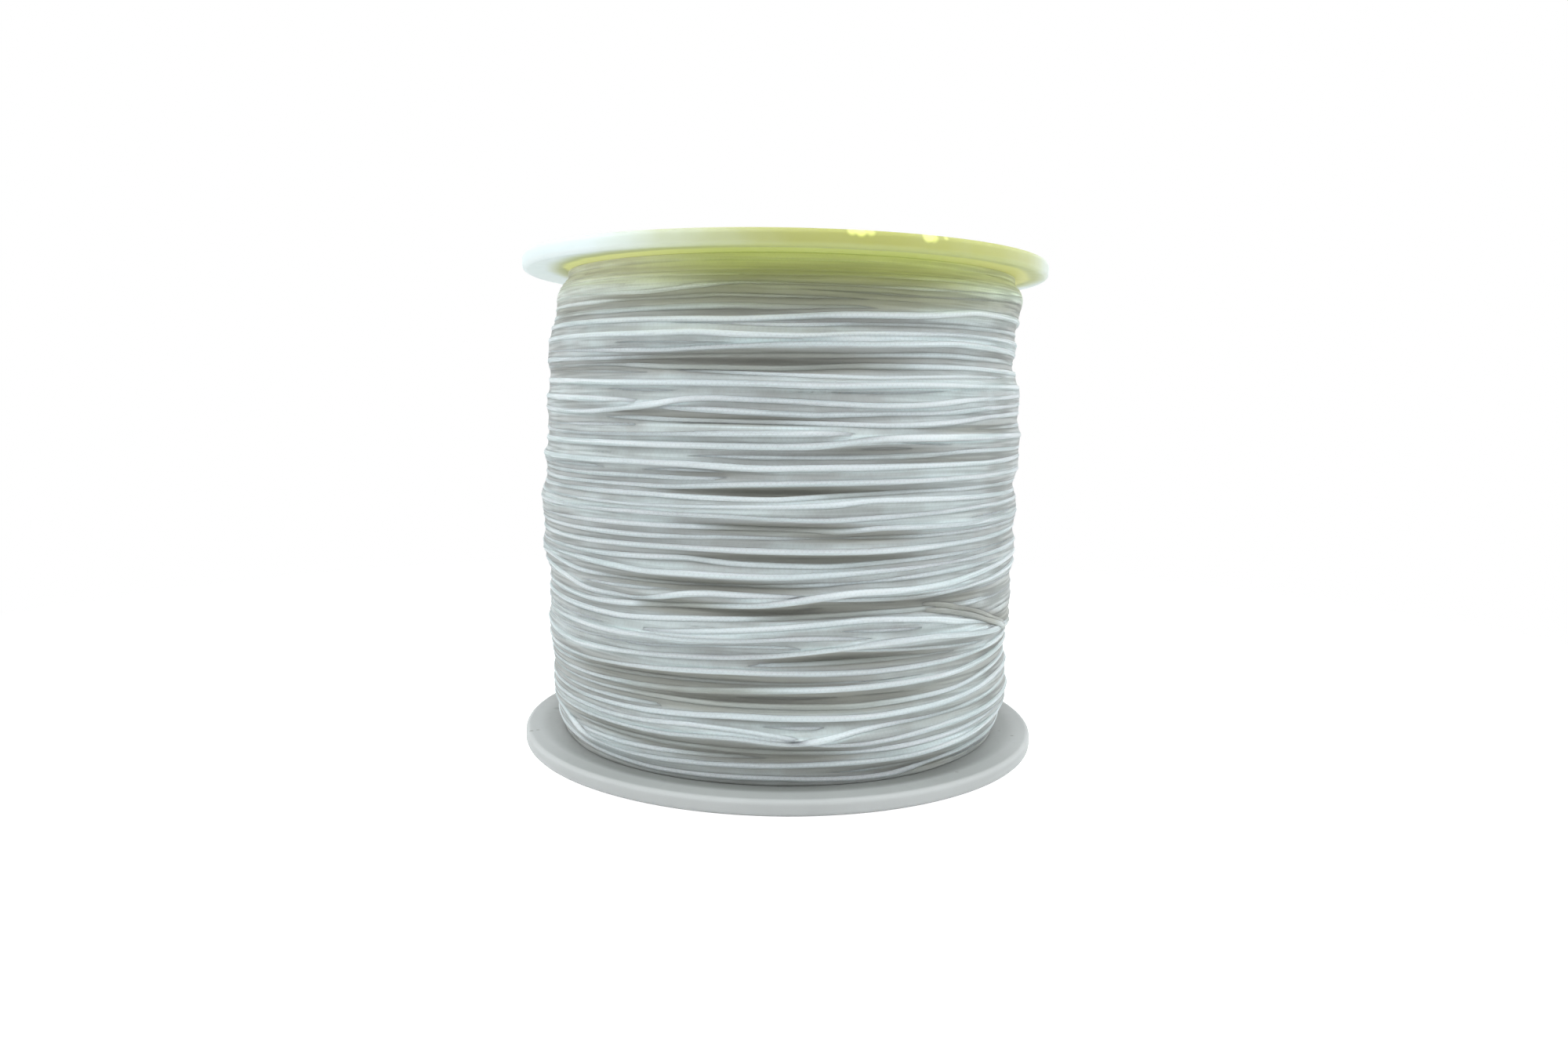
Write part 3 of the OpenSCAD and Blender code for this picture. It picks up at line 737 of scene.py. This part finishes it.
tintGroup = makeLabelTintGroup()

braid = {
    "yarns": 3.0,  # of each set, round the line
    "sink": 0.35,  # how suddenly a yarn goes under the other set
    "groove": (0.45, 0.0),  # of the height, from none to full
    "streakRound": 1.3,  # size of the streaks' noise round the line and along it
    "streakAlong": 0.05,
}


def makeBraidGroup():
    # Two sets of yarns that run round the line opposite ways, p = u + 3 v and q = u - 3 v. A yarn is the arch
    # |sin(pi p)| or |sin(pi q)|, and the sign of the two sines' product says which set is on top.
    tree, start = newGroup("braidRelief", [("Vector", "Vector", None)],
                           [("Height", "Float"), ("Groove", "Float"), ("Streak", "Float")])
    along, way, _ = splitUp(tree, start["Vector"])
    turns = times(tree, way, braid["yarns"])
    p = maths(tree, "SINE", times(tree, plus(tree, along, turns), math.pi))
    q = maths(tree, "SINE", times(tree, minus(tree, along, turns), math.pi))
    a, b = (maths(tree, "ABSOLUTE", sine) for sine in (p, q))
    onTop = maths(tree, "GREATER_THAN", times(tree, p, q), 0.0)
    first = times(tree, a, maths(tree, "POWER", b, braid["sink"]))
    second = times(tree, b, maths(tree, "POWER", a, braid["sink"]))
    height = mixValue(tree, onTop, second, first)
    # Yarns that lie along the line: noise drawn out along it, on a circle so that it closes round the line
    turn = times(tree, way, 2 * math.pi)
    ringX, ringY = (times(tree, maths(tree, wave, turn), braid["streakRound"]) for wave in ("COSINE", "SINE"))
    inputs = {0: times(tree, along, braid["streakAlong"]), 1: ringX, 2: ringY}
    ring = addNode(tree, "ShaderNodeCombineXYZ", inputs).outputs[0]
    groove, streak = ramp(tree, height, *braid["groove"]), noise(tree, ring, 1.0, 2.0)
    addNode(tree, "NodeGroupOutput", {"Height": height, "Groove": groove, "Streak": streak})
    return tree


braidGroup = makeBraidGroup()

# A ramp is (from, to, value at from, value at to), with 0 and 1 left out; a noise is (scale, detail)
lineFinish = {
    "light": srgb(240, 255, 255),
    "shade": srgb(186, 187, 185),
    "gap": srgb(152, 149, 137),  # lint and shadow between the turns
    # painted light: the label's light, multiplied into the colour of the turns under the flange
    "tint": srgb(251, 255, 152),
    "spotColour": srgb(150, 142, 122),
    "proud": (0.35, -0.4),  # how far a turn stands proud, by its shelter
    "crestLitAndClean": (0.0, 0.8, 0.45, 1.0),  # how clean and how lit its crest is, by that: painted light on the turns that stand proud
    "worn": (0.35, 0.65, -0.25, 0.15),  # and by the blotches
    "footGaps": (26.0, 8.0, 0.0, 0.3),  # mm: painted shade, the gaps are darker towards both flanges
    "headGaps": (44.0, 52.0, 0.0, 0.35),
    "hidden": (-0.1, 0.85, 0.0, 0.68),  # share of the gap colour, by the shelter: painted shade where a turn lies deep
    "sideways": (12.0, 26.0, 0.4, 1.0),  # mm: the yarns show most at the two sides
    "yarns": (0.6, 0.38, 0.0, 0.8),
    "woven": (0.1, -0.3, 0.3, 1.0),
    "relief": (0.4, 1.0, 0.12, 0.18),  # strength of the relief, in front and at the two sides
    "roughness": (0.3, 0.7, 0.68, 0.56),  # by the blotches
    "drawnOut": (0.035, 0.0, 0.0),  # noise along the line alone, and in space, and their shares in a blotch
    "along": (1.0, 3.0),
    "cloud": (260.0, 4.0),
    "blotch": (0.6, 0.4),
    "fuzz": (5200.0, 2.0),
    "proudLight": 0.25,  # painted light: what standing proud adds to a clean crest
    "tintedCrest": -0.8,  # and what the label's tint takes from it
    "tinted": 0.95,
    # share of the gap colour, lint and painted shade, in the braid's grooves
    "grooveShare": 0.1,
    "fuzzHeight": 0.25,  # heights for 1 of the weave
    "streakHeight": 2.4,
    "bump": 0.12,  # mm
    "marks": (  # x, y, z, radius in mm and strength: three small brown marks, and two that darken the dent where the line's end is made fast
        (23.3, -16.9, 41.6, 0.3, 0.7),
        (22.8, -17.6, 40.2, 0.2, 0.6),
        (21.7, -18.9, 35.3, 0.25, 0.6),
        (27.1, -7.7, 15.9, 1.4, 0.8),
        (27.5, -6.1, 15.7, 1.2, 0.6),
    ),
}


def makeLineMaterial():
    # Painted light where a turn is clean and stands proud, painted shade beside that, and the gap colour,
    # lint and painted shade, where it is hidden, times the label's painted light; the relief is fuzz, the
    # braid where the turn lies open, and the yarns along it
    made, tree = newMaterial("braidedLine")
    uv = addNode(tree, "ShaderNodeUVMap", uv_map="lineLay").outputs[0]
    where = objectPlace(tree)
    weave = placeGroup(tree, braidGroup, {"Vector": uv})
    tint = placeGroup(tree, tintGroup, {"Vector": where})
    along = noise(tree, stretched(tree, uv, lineFinish["drawnOut"]), *lineFinish["along"])
    cloud = noise(tree, where, *lineFinish["cloud"])
    shares = lineFinish["blotch"]
    blotch = plus(tree, times(tree, along, shares[0]), times(tree, cloud, shares[1]))
    depth = attributeOf(tree, "shelter")

    def grown(value, facts, unit=1.0, kind="SMOOTHSTEP"):
        return ramp(tree, value, *lineFinish[facts], unit=unit, kind=kind)

    proud = grown(depth, "proud")
    crestLitAndClean = times(tree, ramp(tree, attributeOf(tree, "crest"), 0.0, 1.0), grown(proud, "crestLitAndClean"))
    litAndClean = plus(tree, crestLitAndClean, times(tree, proud, lineFinish["proudLight"]))
    litAndClean = maths(tree, "ADD", litAndClean, grown(blotch, "worn"), clamp=True)
    litAndClean = times(tree, litAndClean, maths(tree, "MULTIPLY_ADD", tint["On Line"], lineFinish["tintedCrest"], 1.0))
    base = mixColour(tree, litAndClean, lineFinish["shade"], lineFinish["light"])
    x, _, z = splitUp(tree, where)
    towards = plus(tree, grown(z, "footGaps", mm), grown(z, "headGaps", mm))
    base = mixColour(tree, grown(plus(tree, depth, towards), "hidden"), base, lineFinish["gap"])
    base = mixColour(tree, times(tree, weave["Groove"], lineFinish["grooveShare"]), base, lineFinish["gap"])
    tinted = times(tree, tint["On Line"], lineFinish["tinted"])
    base = mixColour(tree, tinted, base, lineFinish["tint"], "MULTIPLY")
    sideways = grown(maths(tree, "ABSOLUTE", x), "sideways", mm)
    yarns = times(tree, grown(weave["Streak"], "yarns"), sideways)
    base = mixColour(tree, yarns, base, lineFinish["shade"], "MULTIPLY")
    base = mixColour(tree, markMask(tree, where, lineFinish["marks"]), base, lineFinish["spotColour"])
    woven = times(tree, weave["Height"], grown(depth, "woven"))
    fuzz = times(tree, noise(tree, where, *lineFinish["fuzz"]), lineFinish["fuzzHeight"])
    relief = plus(tree, times(tree, weave["Streak"], lineFinish["streakHeight"]), plus(tree, fuzz, woven))
    addSurface(tree, {
        "Base Color": base,
        "Roughness": grown(blotch, "roughness"),
        "Normal": bumpOf(tree, relief, grown(sideways, "relief", kind="LINEAR"), lineFinish["bump"] * mm),
        "IOR": 1.5,
        "Specular IOR Level": 0.35,
        "Sheen Weight": 0.15,
        "Sheen Roughness": 0.5,
        "Subsurface Weight": 1.0,
        "Subsurface Radius": (1.0, 1.0, 0.95),
        "Subsurface Scale": 2.0 * mm,
        # painted light: the glow of the label's light, and of plainer light from the left, on the turns under
        # the flange
        "Emission Color": tint["Line Glow"],
        "Emission Strength": 1.0,
    })
    return made


def makePlasticGroup():
    # Moulded plastic: broad faint clouds in the colour, a fine skin, and light handling scuffs in the gloss
    tree, start = newGroup("mouldedPlastic", [("Vector", "Vector", None),
                                              ("Colour", "Color", (0.8, 0.8, 0.8, 1.0)),
                                              ("Grime", "Color", (0.5, 0.5, 0.5, 1.0)),
                                              ("Roughness", "Float", 0.35), ("Marks", "Float", 0.5)],
                           [("Colour", "Color"), ("Roughness", "Float"), ("Height", "Float")])
    where = start["Vector"]
    cloud = noise(tree, where, 55.0, 3.0)
    specks = addNode(tree, "ShaderNodeTexVoronoi", {"Vector": where, "Scale": 210.0, "Randomness": 1.0})
    speck = times(tree, ramp(tree, specks.outputs["Distance"], 0.16, 0.05),
                  ramp(tree, noise(tree, where, 90.0, 1.0), 0.6, 0.66))
    colour = mixColour(tree, ramp(tree, cloud, 0.35, 0.7, 0.0, 0.12), start["Colour"], start["Grime"])
    colour = mixColour(tree, times(tree, speck, start["Marks"]), colour, start["Grime"])
    worn = ramp(tree, noise(tree, where, 400.0, 5.0, 1.5), 0.5, 0.7, 0.0, 0.14)
    skin = plus(tree, times(tree, noise(tree, where, 2600.0, 2.0), 0.5), times(tree, cloud, 1.5))
    rough = plus(tree, start["Roughness"], worn)
    addNode(tree, "NodeGroupOutput", {"Colour": colour, "Roughness": rough, "Height": skin})
    return tree


plasticGroup = makePlasticGroup()

plastic = {
    "lower": srgb(190, 189, 188),
    "lowerGrimeAndShade": srgb(128, 128, 125),
    "upper": srgb(225, 228, 226),
    "upperGrime": srgb(216, 228, 230),
    # painted light: the label's light through the flange, multiplied into its colour
    "tint": srgb(210, 206, 125),
    "barrel": srgb(226, 230, 230),
    "openFaceShade": (32.0, 31.3, 0.0, 0.45),  # mm from the axis: share of the grime colour on the open face, as painted shade
    "footShade": (30.7, 28.7, 0.0, 1.0),  # and close to the winding, as painted shade at its foot
    "ahead": (-8.0, -26.0),  # mm: both painted shades grow towards the front, the one by the foot from this share
    "footShadeBehind": 0.35,
    "spotColour": srgb(120, 116, 106),
    "lowerMarks": (  # x, y, z, radius in mm and strength
        (-30.0, -9.6, 1.8, 0.35, 0.5),
        (-29.3, -9.2, 1.8, 0.3, 0.4),
        (28.8, -8.4, 1.8, 0.3, 0.5),
        (19.9, -22.2, 1.8, 0.3, 0.35),
        (27.6, -6.4, 1.8, 0.25, 0.4),
    ),
    "glint": srgb(255, 255, 160),
    "upperGlints": (  # painted glints: small bright yellow highlights on the top edge of the rim
        (6.4, -31.4, 58.9, 0.7, 0.7),
        (7.3, -31.2, 58.9, 0.8, 0.9),
        (8.3, -31.0, 58.9, 0.7, 0.6),
        (14.1, -28.7, 58.8, 0.8, 0.9),
        (14.7, -28.4, 58.8, 0.8, 0.6),
        (16.1, -27.7, 58.9, 0.45, 0.5),
    ),
}


def makePlasticMaterial(name, colour, grimeAndShade, roughness, marks=(), markColour=None, tinted=False, shadedFaces=False):
    made, tree = newMaterial(name)
    where = objectPlace(tree)
    inputs = {"Vector": where, "Colour": colour, "Grime": grimeAndShade, "Roughness": roughness, "Marks": 0.5}
    skin = placeGroup(tree, plasticGroup, inputs)
    base = skin["Colour"]
    glow = {}
    if shadedFaces:
        # Painted shade, in the grime colour: the open face is darker, and more so towards the foot of the
        # winding and the front
        flat = addNode(tree, "ShaderNodeVectorMath", {0: where, 1: (1.0, 1.0, 0.0)}, operation="MULTIPLY")
        away = lengthOf(tree, flat.outputs[0])
        ahead = ramp(tree, splitUp(tree, where)[1], *plastic["ahead"], unit=mm)
        growth = maths(tree, "MULTIPLY_ADD", ahead, 1.0 - plastic["footShadeBehind"], plastic["footShadeBehind"])
        openFaceShade = times(tree, ramp(tree, away, *plastic["openFaceShade"], unit=mm), ahead)
        near = times(tree, ramp(tree, away, *plastic["footShade"], unit=mm), growth)
        base = mixColour(tree, maths(tree, "MAXIMUM", openFaceShade, near), base, grimeAndShade)
    if tinted:
        # Painted light of the label, with plainer painted light beside it: a tint of the colour and an
        # emitted glow
        tint = placeGroup(tree, tintGroup, {"Vector": where})
        base = mixColour(tree, tint["On Flange"], base, plastic["tint"], "MULTIPLY")
        glow = {"Emission Color": tint["Under Glow"], "Emission Strength": 1.0}
    # Small round marks in their own colour: real ones on the lower flange, painted glints on the upper one
    if marks:
        base = mixColour(tree, markMask(tree, where, marks), base, markColour)
    addSurface(tree, {
        "Base Color": base,
        "Roughness": skin["Roughness"],
        "Normal": bumpOf(tree, skin["Height"], 0.25, 0.05 * mm),
        "IOR": 1.5,
        "Specular IOR Level": 0.25,
        "Subsurface Weight": 0.8,
        "Subsurface Radius": (1.0, 1.0, 1.0),
        "Subsurface Scale": 1.6 * mm,
    } | glow)
    return made


labels = {
    "top": (srgb(222, 232, 92), srgb(204, 216, 84)),  # colour, and where it is faded
    "bottom": (srgb(226, 228, 222), srgb(206, 208, 200)),
}


def makePaperMaterial(name, colour, fade):
    # Coated paper: short fibres under a thin gloss, a little darker towards worn patches
    made, tree = newMaterial(name)
    where = objectPlace(tree)
    patch = noise(tree, where, 90.0, 4.0)
    fibre = noise(tree, stretched(tree, where, (1.0, 2.6, 1.0)), 2400.0, 4.0)
    base = mixColour(tree, ramp(tree, patch, 0.35, 0.7), colour, fade)
    base = mixColour(tree, ramp(tree, fibre, 0.5, 0.75, 0.0, 0.25), base, fade)
    addSurface(tree, {
        "Base Color": base,
        "Roughness": ramp(tree, fibre, 0.3, 0.7, 0.42, 0.56),
        "Normal": bumpOf(tree, fibre, 0.3, 0.03 * mm),
        "Subsurface Weight": 1.0,
        "Subsurface Radius": (1.0, 1.0, 0.6),
        "Subsurface Scale": 2.0 * mm,
    })
    return made


def setMaterial(node, material):
    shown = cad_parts[node]
    shown.data.materials.clear()
    shown.data.materials.append(material)


lineMaterial = makeLineMaterial()
lowerPlastic = makePlasticMaterial("whitePlasticLower", plastic["lower"], plastic["lowerGrimeAndShade"], 0.62,
                                   plastic["lowerMarks"], plastic["spotColour"], shadedFaces=True)
upperPlastic = makePlasticMaterial("whitePlasticUpper", plastic["upper"], plastic["upperGrime"], 0.45,
                                   plastic["upperGlints"], plastic["glint"], tinted=True)
barrelPlastic = makePlasticMaterial("barrelPlastic", plastic["barrel"], plastic["lowerGrimeAndShade"], 0.45)
setMaterial("lower_flange", lowerPlastic)
setMaterial("upper_flange", upperPlastic)
setMaterial("barrel", barrelPlastic)
setMaterial("top_label", makePaperMaterial("topLabelPaper", *labels["top"]))
setMaterial("bottom_label", makePaperMaterial("bottomLabelPaper", *labels["bottom"]))
print("materials made")

# Winding: even turns below, then the middle and the outer lay, all one line
wound = edgeRadius(gridAngles, rowHeights[None, :]) - winding["underDepth"] - winding["lineRadius"]
room = winding["high"] - winding["low"] - 2 * winding["endMargin"]
turned = np.arange(0.0, 360.0 * int(room / winding["underPitch"]) + 1, degreesPerStep)
underAlong = turned + winding["underStart"]
underLevel = winding["high"] - winding["endMargin"] - winding["underPitch"] * turned / 360.0
underRadii = windOn(wound, underAlong, underLevel)
middleAlong, middleLevel = joinedRoutes(middleRoutes[::-1], stray["middle"], 11)
middleRadii = windOn(wound, middleAlong, middleLevel)
outerAlong, outerLevel = joinedRoutes(outerRoutes, stray["outer"], 23)
outerRadii = windOn(wound, outerAlong, outerLevel)
broadSurface = softened(wound, *heap["broad"])
print("line wound: most radius", round(float(wound.max()), 2), "mm")


def onCylinder(along, level, radii):
    turn = np.radians(along)
    radii = radii - pulledIn(along, level)
    return np.stack([radii * np.cos(turn), radii * np.sin(turn), level], axis=-1)


def addTurns(names, along, level, radii, sides=8, every=1, replaces=("line_outer_turns",), dulled=0.0,
             share=None):
    # One long line, cut at the back of the spool into as many pieces as there are names. Its shelter is how
    # deep its top lies below the broad surface, in mm, with what dulled adds; less than 0 stands proud.
    # The shelter sets the turn's painted shade, and standing proud its painted light
    tops = radii + winding["lineRadius"]
    broad = valueAt(broadSurface, along, level)
    shelter = broad - tops + winding["valleyShade"] * pulledIn(along, level) + dulled
    share = looseness(along, level) if share is None else share
    tops = evened(share, broad, tops)
    toEnd = np.clip(np.minimum(along - along[0], along[-1] - along) / winding["dive"], 0.0, 1.0)
    tops = blurred(tops, winding["topsBlur"]) - winding["diveDepth"] * (1.0 - toEnd) ** 2
    path = onCylinder(along, level, tops - winding["lineRadius"])
    turnsEach = (along[-1] - along[0]) / 360.0 / len(names)
    cuts = [int(round(turnsEach * n)) * columns for n in range(len(names))] + [len(along) - 1]
    length = 0.0
    for name, first, last in zip(names, cuts[:-1], cuts[1:]):
        pick = np.arange(first, last + 1, every)
        litAndClean = 1.0 - winding["crestDulled"] * dulled
        length = addLine(name, path[pick], sides, shelter[pick], replaces, length, litAndClean)
    return length


def addTuckedEnd(name, route):
    # Its left end comes from under the turns, and its right end sinks in where it is made fast
    along = np.arange(route[0][0], route[-1][0] + 0.1, degreesPerStep)
    level = blurred(np.interp(along, *zip(*route)), tuckedEnd["blur"])
    under = valueAt(softened(wound, *tuckedEnd["over"]), along, level)
    sunk = tuckedEnd["depth"] * (1.0 - eased(within(along, tuckedEnd["span"])))
    radii = under + tuckedEnd["lift"] - sunk
    return addTurns([name], along, level, radii, dulled=tuckedEnd["dulled"], share=tuckedEnd["share"])


lineLength = addTurns(["under_turns"], underAlong, underLevel, underRadii, 6, 2,
                      ("line_outer_turns", "line_core"))
lineLength += addTurns(["middle_turns_low", "middle_turns_high"], middleAlong, middleLevel, middleRadii)
lineLength += addTurns(["outer_turns_high", "outer_turns_low"], outerAlong, outerLevel, outerRadii)
for letter, route in zip("ab", tuckedRoutes):
    lineLength += addTuckedEnd("tucked_end_" + letter, route)
print("line in the shown turns:", round(lineLength / 1000, 1), "m")


def addInnerTurns():
    # A ring whose outside is the softened wound surface, a little lower, and whose inside is the barrel
    soft = softened(wound, *heap["soft"])
    pressed = evened(looseness(gridAngles, rowHeights[None, :]), broadSurface, soft) - heap["depth"]
    foot, head = (int((heap[end] - winding["low"]) / rowStep) for end in ("foot", "head"))
    pressed[:, :foot] = np.maximum(pressed[:, :foot], pressed[:, foot:foot + 1] + heap["rise"])
    pressed[:, head:] = np.maximum(pressed[:, head:], pressed[:, head:head + 1] + heap["rise"])
    # Its ridges take the crests' painted light, and its shade the painted shade
    over = pressed - softened(pressed, *heap["ridgeMean"])
    ridges = softened(np.clip(over / heap["ridgeRise"], 0.0, heap["ridgeMost"]), *heap["ridgeSoft"])
    everyColumn, everyRow = heap["every"]
    kept = np.append(np.arange(0, rows - 1, everyRow), rows - 1)
    angles = gridAngles[::everyColumn]

    def picked(values):
        return values[::everyColumn][:, kept]

    drawnIn = pulledIn(angles, rowHeights[kept])
    shade = heap["shade"] * picked(broadSurface - soft) + winding["valleyShade"] * drawnIn
    inner = np.ones((len(angles), 2))
    radii = np.concatenate([picked(pressed) - drawnIn, inner * winding["wallRadius"]], axis=1)
    levels = np.concatenate([rowHeights[kept], [winding["high"], winding["low"]]])
    turn = np.radians(angles)
    upright = np.broadcast_to(levels, radii.shape)
    points = np.stack([radii * np.cos(turn), radii * np.sin(turn), upright], axis=-1)
    count = len(levels)
    i, j = np.meshgrid(np.arange(len(angles)), np.arange(count), indexing="ij")
    right, up = (i + 1) % len(angles), (j + 1) % count
    faces = np.stack([i * count + j, right * count + j, right * count + up, i * count + up], axis=-1)
    # Half way round and back again, so that the two ends meet
    around = np.stack([i, i + 1, i + 1, i], axis=-1) / len(angles)
    around = heap["uvRound"] / 2 - np.abs(around - 0.5) * heap["uvRound"]
    upward = np.stack([j, j, j + 1, j + 1], axis=-1) * everyRow * rowStep / heap["uvUp"]
    addPiece("inner_turns", points.reshape(-1, 3), faces.reshape(-1, 4), ("line_core",),
             np.stack([around, upward], axis=-1), np.concatenate([shade, inner], axis=1),
             np.concatenate([picked(ridges), inner * 0.0], axis=1))


addInnerTurns()

knot = {
    "middle": (0.0, 11.25, 14.9),  # mm, against the inside of the barrel
    "size": 0.2604,  # mm, for 1 in its formula
    "thick": 1.1,  # how far it stands off that wall, in the same measure
    "open": 0.35,  # radians, where its two ends leave it
    "tail": 4.8,  # down from its middle
    "steps": (140, 200),  # round the knot, and along the whole of it
    "smoothing": 3,  # passes
    "wall": 13.9,  # where the line leaves the barrel
    "radius": 0.42,
    "aside": (0.31, 0.17, 0.05),  # keeps the way outward from lying along the path
}


def addKnot():
    # An overhand knot: x = sin t + 2 sin 2t, z = cos t - 2 cos 2t, y = sin 3t, opened where it faces the wall
    middle = np.array(knot["middle"])
    turn = np.linspace(knot["open"], 2 * np.pi - knot["open"], knot["steps"][0])
    loop = np.stack([np.sin(turn) + 2 * np.sin(2 * turn), knot["thick"] * np.sin(3 * turn),
                     np.cos(turn) - 2 * np.cos(2 * turn)], axis=-1) * knot["size"] + middle
    wall = np.array([0.0, knot["wall"], middle[2]])
    tail = np.array([0.0, middle[1], middle[2] - knot["tail"]])
    route = np.concatenate([[wall, (wall + loop[0]) / 2], loop, [(tail + loop[-1]) / 2, tail]])
    steps = np.concatenate([[0.0], np.cumsum(np.linalg.norm(np.diff(route, axis=0), axis=1))])
    even = np.linspace(0.0, steps[-1], knot["steps"][1])
    path = np.stack([np.interp(even, steps, route[:, k]) for k in range(3)], axis=-1)
    for _ in range(knot["smoothing"]):
        path[1:-1] = (path[:-2] + 2 * path[1:-1] + path[2:]) / 4
    points, faces, uv, _ = tubeAlong(path, knot["radius"], 8, path - middle + np.array(knot["aside"]))
    uv[:, :, 0] /= winding["beadPitch"]
    ones = np.ones(len(points))
    addPiece("start_knot", points, faces, ("line_start_knot",), uv, ones * 0.0, ones)


addKnot()
print("knot tied")

# Floor, lamps and world
light = {
    "front": 0.28,  # world, level at the horizon before the camera
    "above": 0.18,  # more overhead
    "overhead": (-0.1, 0.8),  # where it grows to that, by the upward part of the direction
    "sides": 0.34,  # more at both sides
    "floor": (0.85, 0.85, 0.85, 1.0),
    "white": (1.0, 1.0, 1.0, 1.0),
    "floorGlow": 0.8,  # under the spool, where its shadow shows, and plain white from here on (m)
    "backdrop": (0.06, 0.16),
    "lampColour": (0.87, 0.975, 1.0),
    "lamps": (  # name, place (m), aim (m), size (m), watts
        ("leftLamp", (-0.50, 0.0, 0.30), (0.0, 0.0, 0.035), 0.40, 1.12),
        ("rightLamp", (0.50, 0.0, 0.30), (0.0, 0.0, 0.035), 0.40, 1.25),
        ("topLamp", (0.0, -0.34, 0.50), (0.0, 0.0, 0.03), 0.60, 2.1),
    ),
}


def addFloor():
    made, tree = newMaterial("paleFloor")
    paint = addNode(tree, "ShaderNodeBsdfDiffuse", {"Color": light["floor"]}).outputs[0]
    glow = addNode(tree, "ShaderNodeEmission", {"Color": light["white"], "Strength": light["floorGlow"]})
    both = addNode(tree, "ShaderNodeAddShader", {0: paint, 1: glow.outputs[0]})
    white = addNode(tree, "ShaderNodeEmission", {"Color": light["white"], "Strength": 1.0})
    far = ramp(tree, lengthOf(tree, objectPlace(tree)), *light["backdrop"])
    backdrop = addNode(tree, "ShaderNodeMixShader", {0: far, 1: both.outputs[0], 2: white.outputs[0]})
    choice = addNode(tree, "ShaderNodeMixShader", {0: seenMask(tree), 1: paint, 2: backdrop.outputs[0]})
    addNode(tree, "ShaderNodeOutputMaterial", {0: choice.outputs[0]})
    mesh = bpy.data.meshes.new("floor")
    mesh.from_pydata([(-4, -4, 0), (4, -4, 0), (4, 4, 0), (-4, 4, 0)], [], [(0, 1, 2, 3)])
    mesh.materials.append(made)
    floor = bpy.data.objects.new("floor", mesh)
    bpy.context.scene.collection.objects.link(floor)


def addLamp(name, place, aim, size, watts):
    data = bpy.data.lights.new(name, "AREA")
    data.shape = "DISK"
    data.size = size
    data.energy = watts
    data.color = light["lampColour"]
    made = bpy.data.objects.new(name, data)
    made.location = place
    made.rotation_mode = "QUATERNION"
    made.rotation_quaternion = (Vector(aim) - Vector(place)).to_track_quat("-Z", "Y")
    bpy.context.scene.collection.objects.link(made)


def setWorld():
    # The level is front + above * how far up + sides * x^2, and plain white where it is seen itself
    world = bpy.data.worlds.new("studio")
    world.use_nodes = True
    tree = world.node_tree
    tree.nodes.clear()
    x, _, z = splitUp(tree, addNode(tree, "ShaderNodeTexCoord").outputs["Generated"])
    above = ramp(tree, z, *light["overhead"], light["front"], light["front"] + light["above"])
    level = plus(tree, above, times(tree, times(tree, x, x), light["sides"]))
    strength = mixValue(tree, seenMask(tree), level, 1.0)
    back = addNode(tree, "ShaderNodeBackground", {"Color": light["white"], "Strength": strength})
    addNode(tree, "ShaderNodeOutputWorld", {0: back.outputs[0]})
    bpy.context.scene.world = world


addFloor()
for lamp in light["lamps"]:
    addLamp(*lamp)
setWorld()
bpy.context.scene.view_settings.view_transform = "Standard"
print("floor and light set")
